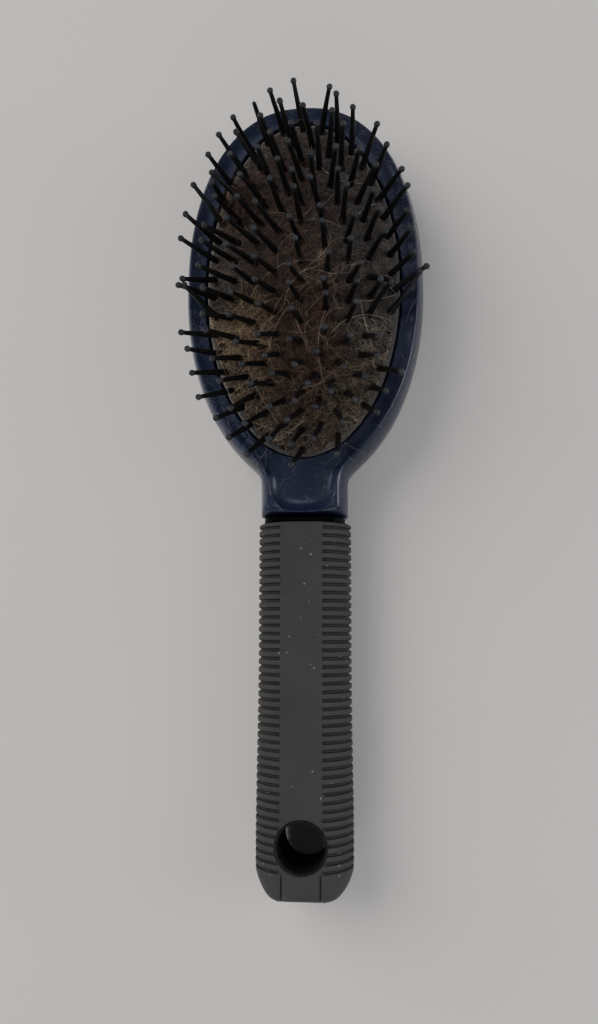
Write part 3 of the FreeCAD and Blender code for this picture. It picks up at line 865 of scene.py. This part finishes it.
def pin_profile(with_ball):
    """Radius and height up one pin, from under the rubber to its top."""
    ball_centre = PIN_LENGTH - PIN_BALL_RADIUS
    profile = PIN_FOOT_PROFILE + [(PIN_BASE_RADIUS, PIN_SHAFT_START)]
    shaft_top = ball_centre - math.sqrt(PIN_BALL_RADIUS ** 2 - PIN_NECK_RADIUS ** 2)
    for share in PIN_SHAFT_SHARES:
        radius = PIN_BASE_RADIUS + (PIN_NECK_RADIUS - PIN_BASE_RADIUS) * share ** PIN_SHAFT_TAPER
        profile.append((radius, PIN_SHAFT_START + (shaft_top - PIN_SHAFT_START) * share))
    if with_ball:
        profile.append((PIN_NECK_RADIUS + 0.03, shaft_top - 0.05))
        start = math.asin((shaft_top - ball_centre) / PIN_BALL_RADIUS)
        for step in range(1, PIN_BALL_STEPS):
            angle = start + (math.pi / 2 - start) * step / PIN_BALL_STEPS
            rise = PIN_BALL_RADIUS * math.sin(angle)
            profile.append((PIN_BALL_RADIUS * math.cos(angle), ball_centre + rise))
        profile.append((0.0, PIN_LENGTH))
    else:
        profile.append((PIN_NECK_RADIUS * 0.95, shaft_top - 0.2))
        profile.append((PIN_NECK_RADIUS * 0.5, shaft_top + 0.12))
        profile.append((0.0, shaft_top + 0.18))
    return profile


def pin_mesh(x, y, lean, bow, with_ball):
    """Points, faces and tip values of one pin that leans and bows a little."""
    around = PIN_SIDES
    axis = Vector(lean).normalized()
    side = axis.cross(Vector((0, 1, 0))).normalized()
    front = axis.cross(side)
    foot = Vector((x, y, pad_height(x, y)))
    points, tips = [], []
    for radius, height in pin_profile(with_ball):
        share = max(0.0, height / PIN_LENGTH)
        centre = foot + axis * height + Vector((bow[0], bow[1], 0)) * share ** 2
        tip = smooth_step(PIN_LENGTH - 2.1, PIN_LENGTH - 1.5, height) if with_ball else 0.0
        if radius == 0.0:
            points.append(tuple(centre))
            tips.append(tip)
            continue
        for k in range(around):
            angle = 2 * math.pi * k / around
            points.append(tuple(centre + (side * math.cos(angle) + front * math.sin(angle)) * radius))
            tips.append(tip)
    rings = (len(points) - 1) // around
    faces = [tuple(reversed(range(around)))]
    for row in range(rings - 1):
        for k in range(around):
            after = (k + 1) % around
            a = row * around
            b = a + around
            faces.append((a + k, a + after, b + after, b + k))
    top = len(points) - 1
    for k in range(around):
        faces.append(((rings - 1) * around + k, (rings - 1) * around + (k + 1) % around, top))
    return points, faces, tips


def pin_pieces(places, material):
    """One piece for each strip of pins, every pin with a lean of its own."""
    draw = random.Random(11)
    groups = {}
    ball_less = min((p for p in places if p[2]), key=lambda p: math.dist(p[:2], NO_BALL_PLACE))
    for x, y, filled in places:
        stray = (draw.gauss(0, STRAY_LEAN), draw.gauss(0, STRAY_LEAN))
        bow = (draw.gauss(0, STRAY_BOW), draw.gauss(0, STRAY_BOW))
        if not filled:
            continue
        lean_x = LEAN_PER_MM_X * x - LEAN_TO_LEFT + stray[0]
        lean = [lean_x, LEAN_PER_MM_Y * (y - HEAD_CENTRE_Y) + stray[1], 1.0]
        for place, extra in BENT_PINS:
            if math.dist((x, y), place) < BENT_PIN_TOLERANCE:
                lean = [lean[0] + extra[0], lean[1] + extra[1], 1.0]
        pin = pin_mesh(x, y, lean, bow, (x, y) != ball_less[:2])
        groups.setdefault(strip_name(strip_number(x)), []).append(pin)
    for name, pins in groups.items():
        points, faces, tips = [], [], []
        for pin_points, pin_faces, pin_tips in pins:
            start = len(points)
            points += pin_points
            tips += pin_tips
            faces += [tuple(index + start for index in face) for face in pin_faces]
        piece = mesh_piece(name + "_nylon", points, faces)
        store_values(piece, "tip", tips)
        set_material(piece, material)
        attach(piece, name)
        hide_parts(name + "_tip", name + "_neck")


# ---- grip, collar, eyelet

def grip_radius(y):
    """Radius of the grip's round form at y, swelling towards the butt."""
    swell = smooth_step(GRIP_SWELL_START_Y, GRIP_SWELL_Y, y)
    radius = GRIP_RADIUS + (GRIP_BUTT_RADIUS - GRIP_RADIUS) * swell
    roll_start = GRIP_TOP_Y - GRIP_TOP_ROLL
    if y > roll_start:
        radius -= GRIP_TOP_ROLL_DEPTH * ((y - roll_start) / GRIP_TOP_ROLL) ** 2
    return radius


def butt_shares(y):
    """Shares of the full width and of the full height that are left at y, round the butt."""
    if y >= BUTT_START_Y:
        return 1.0, 1.0
    share = (BUTT_START_Y - y) / (BUTT_START_Y - BUTT_Y)
    drop = max(0.0, (BUTT_ROLL_Y - y) / (BUTT_ROLL_Y - BUTT_Y + BUTT_FACE_GAP))
    return math.sqrt(1 - BUTT_TAPER * share ** BUTT_TAPER_FULLNESS), math.sqrt(1 - drop ** 2)


def rib_cut(y):
    """How far the ribbed side lies under the rib crowns at y, and 0 to 1 for the painted shade on a groove's
    walls and floor.
    """
    last = FIRST_GROOVE_Y - (RIB_COUNT - 1) * RIB_PITCH
    if y > FIRST_GROOVE_Y + RIB_PITCH / 2 or y < last - RIB_PITCH / 2:
        return 0.0, 0.0
    phase = ((FIRST_GROOVE_Y - y) / RIB_PITCH) % 1.0
    away = min(phase, 1 - phase) * RIB_PITCH
    groove = smooth_step(GROOVE_EDGE, GROOVE_FLOOR, away)
    rounding = (1 - away / (RIB_PITCH / 2)) ** 2
    # painted shade: dark on the groove walls, and partly dark over the groove floor
    wall_shade = soft_ring(away, *GROOVE_SHADE)
    return RIB_ROUNDING * rounding + GROOVE_DEPTH * groove, max(wall_shade, GROOVE_FLOOR_SHADE * groove)


def grip_rows():
    """Places along the grip: close together in each groove, wider on the crowns and round the butt."""
    in_a_rib = [-0.5, -0.38, -0.28, -0.21, -0.18, -0.15, -0.12, -0.06]
    in_a_rib += [0.0] + [-share for share in in_a_rib[1:]]
    rows = [GRIP_TOP_Y - drop for drop in (0.0, 0.12, 0.3)]
    for number in range(RIB_COUNT):
        rows += [FIRST_GROOVE_Y - (number + share) * RIB_PITCH for share in in_a_rib]
    for k in range(BUTT_ROWS + 1):
        rows.append(BUTT_START_Y + (BUTT_Y - BUTT_START_Y) * math.sin(math.pi / 2 * k / BUTT_ROWS))
    kept = []
    for y in sorted(rows, reverse=True):
        if y <= GRIP_TOP_Y and (not kept or kept[-1] - y > 0.03):
            kept.append(y)
    return kept


def side_angles(edge, radius):
    """Angles across one ribbed side, close together where the ribs end at the strips."""
    close = [0.0, 0.08, 0.16, 0.24, 0.36, 0.55, 0.9, 1.4]
    start = [-edge + run / radius for run in close]
    middle_start = start[-1] + 0.6 / radius
    middle = list(np.linspace(middle_start, -middle_start, 28))
    return start + middle + [-angle for angle in reversed(start)]


def grip_piece():
    """Round rubber sleeve: ribbed sides, and a smooth strip along its front and its back."""
    half = STRIP_HALF_WIDTH
    strip_shares = [0.975, 0.95, NOTCH_SHARE, 0.9, 0.86, 0.75, 0.5, 0.25]
    strip = strip_shares + [0.0] + [-share for share in reversed(strip_shares)]
    loops, values = [], []
    for y in grip_rows():
        radius = grip_radius(y)
        cut, groove = rib_cut(y)
        wide, tall = butt_shares(y)
        squeeze = (wide * radius - half) / (radius - half)
        edge = math.acos(half / radius)
        notch_growth = smooth_step(NOTCH_START_Y, NOTCH_FULL_Y, y)
        loop, loop_groove_shades = [], []
        for sign in (1, -1):
            for angle in side_angles(edge, radius):
                ends = smooth_step(RIB_END_START, RIB_END_WIDTH, (edge - abs(angle)) * radius)
                r = radius - cut * ends
                x = half + (r * math.cos(angle) - half) * squeeze
                z = max(-GRIP_HALF_HEIGHT, min(GRIP_HALF_HEIGHT, r * math.sin(angle))) * tall
                loop.append((sign * x, y, GRIP_AXIS_Z + sign * z))
                # painted shade in the rib grooves, faded out where the ribs end at the strips
                loop_groove_shades.append(groove * ends)
            for share in strip:
                x = half * share
                notch = soft_ring(abs(share), notch_growth, NOTCH_SHARE, NOTCH_WIDTH)
                height = min(GRIP_HALF_HEIGHT, math.sqrt(radius ** 2 - x ** 2)) - NOTCH_DEPTH * notch
                loop.append((sign * x, y, GRIP_AXIS_Z + sign * height * tall))
                # painted shade in the butt notches
                loop_groove_shades.append(NOTCH_SHADE * notch)
        loops.append(loop)
        values.append(loop_groove_shades)
    piece = lofted_piece("grip_rubber_sleeve", loops)
    # the groove attribute carries this painted shade to the grip's material
    store_values(piece, "groove", [value for row in values for value in row] + [0.0, 0.0])
    cut_round_hole(piece, HOLE_RADIUS + EYELET_WALL + HOLE_FIT_GAP)
    return piece


def hole_ring(radius, z):
    """A ring of points about the hanging hole's axis."""
    turns = [2 * math.pi * k / HOLE_SIDES for k in range(HOLE_SIDES)]
    return [(radius * math.cos(turn), HOLE_Y + radius * math.sin(turn), z) for turn in turns]


def cut_round_hole(piece, radius):
    """Bore the hanging hole, its lips a little rounded."""
    flare = [(1.6, -2.0), (0.55, -0.05), (0.22, 0.25), (0.05, 0.7), (0.0, 1.2)]
    loops = [hole_ring(radius + out, z) for out, z in flare]
    loops += [hole_ring(radius + out, 2 * GRIP_AXIS_Z - z) for out, z in reversed(flare)]
    cutter = lofted_piece("hole_cutter", loops)
    cut = piece.modifiers.new("hole", "BOOLEAN")
    cut.operation = "DIFFERENCE"
    cut.solver = "MANIFOLD"
    cut.object = cutter
    apply_modifiers(piece)
    bpy.data.objects.remove(cutter)


def eyelet_piece():
    """The thin tube that lines the hanging hole, both of its lips rounded."""
    inner = HOLE_RADIUS
    outer = HOLE_RADIUS + EYELET_WALL
    low, high = EYELET_LOW_Z, EYELET_HIGH_Z
    profile = [
        (inner, high - 0.9), (inner + 0.04, high - 0.5), (inner + 0.15, high - 0.15), (inner + 0.32, high),
        (outer - 0.02, high - 0.02), (outer, high - 0.3), (outer, low + 0.3), (outer - 0.02, low + 0.02),
        (inner + 0.32, low), (inner + 0.15, low + 0.15), (inner + 0.04, low + 0.5), (inner, low + 0.9),
        (inner, 8.0), (inner, 16.0),
    ]
    return lofted_piece("hang_hole_liner", [hole_ring(r, z) for r, z in profile], round_again=True)


def collar_piece():
    """The recessed black ring between the neck and the grip, its section that of the neck."""
    half_section = []
    for step in range(BACK_STEPS + 1):
        angle = math.pi / 2 * step / BACK_STEPS
        share = BACK_FLAT_SHARE + (1 - BACK_FLAT_SHARE) * math.sin(angle)
        half_section.append((NECK_HALF_WIDTH * share, WALL_BOTTOM_Z * (1 - math.cos(angle))))
    half_section += [(NECK_HALF_WIDTH - inset, z) for inset, z in COLLAR_TOP]
    section = half_section + [(-x, z) for x, z in reversed(half_section)]
    loops = []
    for y, share in COLLAR_ROWS:
        loops.append([(x * share, y, GRIP_AXIS_Z + (z - GRIP_AXIS_Z) * share) for x, z in section])
    return lofted_piece("neck_collar_ring", loops)


# ---- hair and lint

def strand_mesh(strands, name, sides=3):
    """Thin tubes along lines of points, each with its own radius and tone."""
    points, faces, tones = [], [], []
    for line, radius, tone in strands:
        line = np.array(line)
        along = np.gradient(line, axis=0)
        along /= np.linalg.norm(along, axis=1)[:, None] + 1e-9
        up = np.array([0.0, 0.0, 1.0])
        side = np.cross(along, up)
        side /= np.linalg.norm(side, axis=1)[:, None] + 1e-9
        lift = np.cross(side, along)
        start = len(points)
        count = len(line)
        for k in range(count):
            thin = radius * (0.35 if k in (0, count - 1) else 1.0)
            for s in range(sides):
                angle = 2 * math.pi * s / sides
                points.append(tuple(line[k] + (side[k] * math.cos(angle) + lift[k] * math.sin(angle)) * thin))
                tones.append(tone)
        for k in range(count - 1):
            for s in range(sides):
                a = start + k * sides
                b = a + sides
                faces.append((a + s, a + (s + 1) % sides, b + (s + 1) % sides, b + s))
        faces.append(tuple(start + s for s in reversed(range(sides))))
        faces.append(tuple(start + (count - 1) * sides + s for s in range(sides)))
    piece = mesh_piece(name, points, faces)
    store_values(piece, "tone", tones)
    return piece


def inside_pad(x, y, margin):
    return math.hypot(x / (PAD_HALF_X - margin), (y - HEAD_CENTRE_Y) / (PAD_HALF_Y - margin)) < 1.0


def wander(draw, x, y, length, curl, lift, steps):
    """A line that wanders over the pad, lifting off it in the middle."""
    heading = draw.uniform(0, 2 * math.pi)
    turn = draw.gauss(0, curl)
    stride = length / steps
    low = draw.uniform(0.05, 0.3)
    line = []
    for k in range(steps + 1):
        share = k / steps
        height = low + lift * math.sin(math.pi * share) ** 0.8
        line.append((x, y, pad_height(x, y) + height))
        turn += draw.gauss(0, curl * 0.35)
        turn = max(-1.3, min(1.3, turn))
        heading += turn * stride
        next_x = x + stride * math.cos(heading)
        next_y = y + stride * math.sin(heading)
        if not inside_pad(next_x, next_y, HAIR_MARGIN):
            heading += math.pi * 0.6
            next_x = x + stride * math.cos(heading) * 0.4
            next_y = y + stride * math.sin(heading) * 0.4
            if not inside_pad(next_x, next_y, HAIR_MARGIN):
                break
        x, y = next_x, next_y
    return line


def scatter(draw, count, centre, spread, length, curl, lift, radius, steps=7):
    """Strands around a place, as lines with radius and tone."""
    strands = []
    while len(strands) < count:
        x = draw.gauss(centre[0], spread[0])
        y = draw.gauss(centre[1], spread[1])
        if not inside_pad(x, y, 1.0):
            continue
        line = wander(draw, x, y, draw.uniform(*length), curl, draw.uniform(*lift), steps)
        if len(line) < 4:
            continue
        strands.append((line, radius * draw.uniform(0.8, 1.25), draw.random()))
    return strands


def lay_on_pad(strands, name, material):
    piece = strand_mesh(strands, name)
    set_material(piece, material)
    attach(piece, "cushion")


def lint_strands(draw, count, lowest, highest, radius):
    """Short fibres felted over part of the pad, thickest towards the neck."""
    strands = []
    while len(strands) < count:
        reach = math.sqrt(draw.random())
        angle = draw.uniform(0, 2 * math.pi)
        x = reach * (PAD_HALF_X - 1.2) * math.cos(angle)
        y = HEAD_CENTRE_Y + reach * (PAD_HALF_Y - 1.2) * math.sin(angle)
        if not lowest <= y < highest:
            continue
        line = wander(draw, x, y, draw.uniform(1.8, 6.0), 0.35, draw.uniform(0.1, 1.1), 5)
        if len(line) > 3:
            strands.append((line, radius * draw.uniform(0.75, 1.3), draw.random() ** 1.6))
    return strands


def hair_pieces():
    """Felted lint, hair mats, pale curls and the loose hairs over the bezel."""
    draw = random.Random(23)
    olive = hair_fibre("lint_fibre", (0.024, 0.019, 0.0135), (0.36, 0.30, 0.22), 0.8)
    brown = hair_fibre("brown_lint", (0.013, 0.010, 0.0085), (0.19, 0.142, 0.108), 0.8)
    rusty = hair_fibre("rusty_hair", (0.022, 0.011, 0.008), (0.16, 0.080, 0.050))
    tan = hair_fibre("tan_hair", (0.10, 0.066, 0.037), (0.50, 0.37, 0.225))
    pale = hair_fibre("pale_hair", (0.20, 0.15, 0.10), (0.55, 0.45, 0.34))
    low_lint = lint_strands(draw, 3000, 0, 48, 0.052)
    lay_on_pad(low_lint, "lint_fibres_low", olive)
    high_lint = lint_strands(draw, 2200, 48, 120, 0.048)
    lay_on_pad(high_lint, "lint_fibres_high", brown)
    red = scatter(draw, 900, (0, 40), (6.5, 13), (4, 16), 0.22, (0.3, 3.4), 0.055, 10)
    red += scatter(draw, 360, (-6, 74), (8, 14), (6, 18), 0.18, (0.3, 3.0), 0.05, 10)
    red += scatter(draw, 130, (-19, 84), (3, 4), (4, 12), 0.2, (1.0, 7.0), 0.06, 10)
    lay_on_pad(red, "rusty_hair_mat", rusty)
    golden = scatter(draw, 430, (-16.5, 44.0), (3.4, 5.0), (4, 12), 0.16, (0.4, 4.2), 0.045, 10)
    golden += scatter(draw, 110, (-12, 25), (6, 5), (4, 9), 0.16, (0.3, 2.6), 0.042, 8)
    golden += scatter(draw, 190, (8, 27), (9, 8), (3, 8), 0.16, (0.3, 2.4), 0.042, 8)
    lay_on_pad(golden, "tan_hair_mat", tan)
    curls = scatter(draw, 15, (6, 62), (4, 4), (10, 20), 0.3, (2.0, 6.0), 0.045, 24)
    curls += scatter(draw, 60, (0, 40), (14, 22), (12, 30), 0.05, (1.5, 6.5), 0.036, 18)
    lay_on_pad(curls, "pale_curly_hairs", pale)
    loose = []
    for x, y, run_x, run_y in LOOSE_HAIRS:
        bend = draw.uniform(-1.5, 1.5)
        line = []
        for k in range(LOOSE_HAIR_STEPS + 1):
            share = k / LOOSE_HAIR_STEPS
            arch = math.sin(math.pi * share)
            z = LOOSE_HAIR_Z + LOOSE_HAIR_ARCH * arch
            line.append((x + run_x * share + bend * arch, y + run_y * share, z))
        loose.append((line, LOOSE_HAIR_RADIUS, draw.random()))
    piece = strand_mesh(loose, "loose_hairs_on_bezel")
    set_material(piece, hair_fibre("white_hair", (0.20, 0.19, 0.18), (0.50, 0.48, 0.45)))
    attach(piece, "frame")


# ---- camera, light, floor

def make_camera():
    data = bpy.data.cameras.new("camera")
    data.sensor_width = SENSOR_WIDTH
    data.lens = CAMERA_LENS
    data.clip_start = 0.01
    camera = link("camera", data)
    turn = (Matrix.Rotation(CAMERA_ROLL, 4, "Y") @ Matrix.Rotation(CAMERA_TILT, 4, "X")
            @ Matrix.Rotation(CAMERA_TWIST, 4, "Z"))
    camera.matrix_world = Matrix.Translation(CAMERA_PLACE) @ turn
    bpy.context.scene.camera = camera


def area_light(name, place, target, size, power, colour=(1, 1, 1), diffuse=True, glossy=True):
    data = bpy.data.lights.new(name, "AREA")
    data.shape = "RECTANGLE"
    data.size, data.size_y = size
    data.energy = power
    data.color = colour
    light = link(name, data)
    light.location = place
    aim = Vector(target) - Vector(place)
    light.rotation_euler = aim.to_track_quat("-Z", "Y").to_euler()
    light.visible_diffuse = diffuse
    light.visible_glossy = glossy


def make_studio():
    """A soft key and its weaker reflection, a fill, and strips that only glossy surfaces show."""
    area_light("key", KEY_PLACE, LIGHT_TARGET, (1.1, 1.1), 15.0, WARM_WHITE, glossy=False)
    area_light("key_shine", KEY_PLACE, LIGHT_TARGET, (1.0, 1.0), 6.0, WARM_WHITE)
    area_light("fill", (0.95, 0.05, 0.45), LIGHT_TARGET, (0.5, 0.8), 5.5, COOL_WHITE)
    for name, place, size, power in (
        ("left_strip", (-0.68, -0.05, 0.48), (0.9, 0.07), 2.6),
        ("right_strip", (0.76, -0.02, 0.42), (0.9, 0.07), 2.8),
        ("tip_strip", (0.05, 0.60, 0.75), (0.5, 0.06), 1.3),
    ):
        area_light(name, place, LIGHT_TARGET, size, power, SKY_BLUE, diffuse=False)
    area_light("foot", (0.0, -0.9, 0.5), (0, 0, 0), (0.9, 0.4), 3.5)
    world = bpy.data.worlds.new("studio")
    world.use_nodes = True
    background = world.node_tree.nodes["Background"]
    background.inputs["Color"].default_value = (0.92, 0.94, 1.0, 1.0)
    background.inputs["Strength"].default_value = 0.22
    bpy.context.scene.world = world


def make_floor():
    far = FLOOR_HALF_SIZE
    mesh = bpy.data.meshes.new("floor")
    mesh.from_pydata([(-far, -far, 0), (far, -far, 0), (far, far, 0), (-far, far, 0)], [], [(0, 1, 2, 3)])
    floor = link("floor", mesh)
    floor.location.z = -FLOOR_DROP
    set_material(floor, pale_floor())


# ---- build

def dress(piece, material, node):
    set_material(piece, material)
    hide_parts(node)


def dress_on_frame(piece, material, node):
    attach(piece, "frame")
    dress(piece, material, node)


def build():
    places = hole_places()
    navy = navy_plastic()
    # the last argument, 0.3, darkens this black as painted shade for the collar in its recess; the handle
    # core shares it
    black = black_plastic("core_black_painted_shade", 0.30, 0.04, 0.3)
    dress_on_frame(head_shell_piece(), navy, "head_shell")
    dress_on_frame(bezel_piece(), navy, "front_bezel")
    pad = pad_piece(places)
    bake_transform(pad)
    dress(pad, pad_rubber(), "cushion_pad")
    pin_pieces(places, pin_nylon())
    dress_on_frame(grip_piece(), grip_rubber(), "grip_sleeve")
    eyelet_black = black_plastic("eyelet_black", 0.5, 0.25)
    dress_on_frame(eyelet_piece(), eyelet_black, "hang_hole_eyelet")
    dress_on_frame(collar_piece(), black, "neck_collar")
    set_material(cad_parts["handle_core"], black)
    hair_pieces()


make_camera()
make_studio()
make_floor()
build()
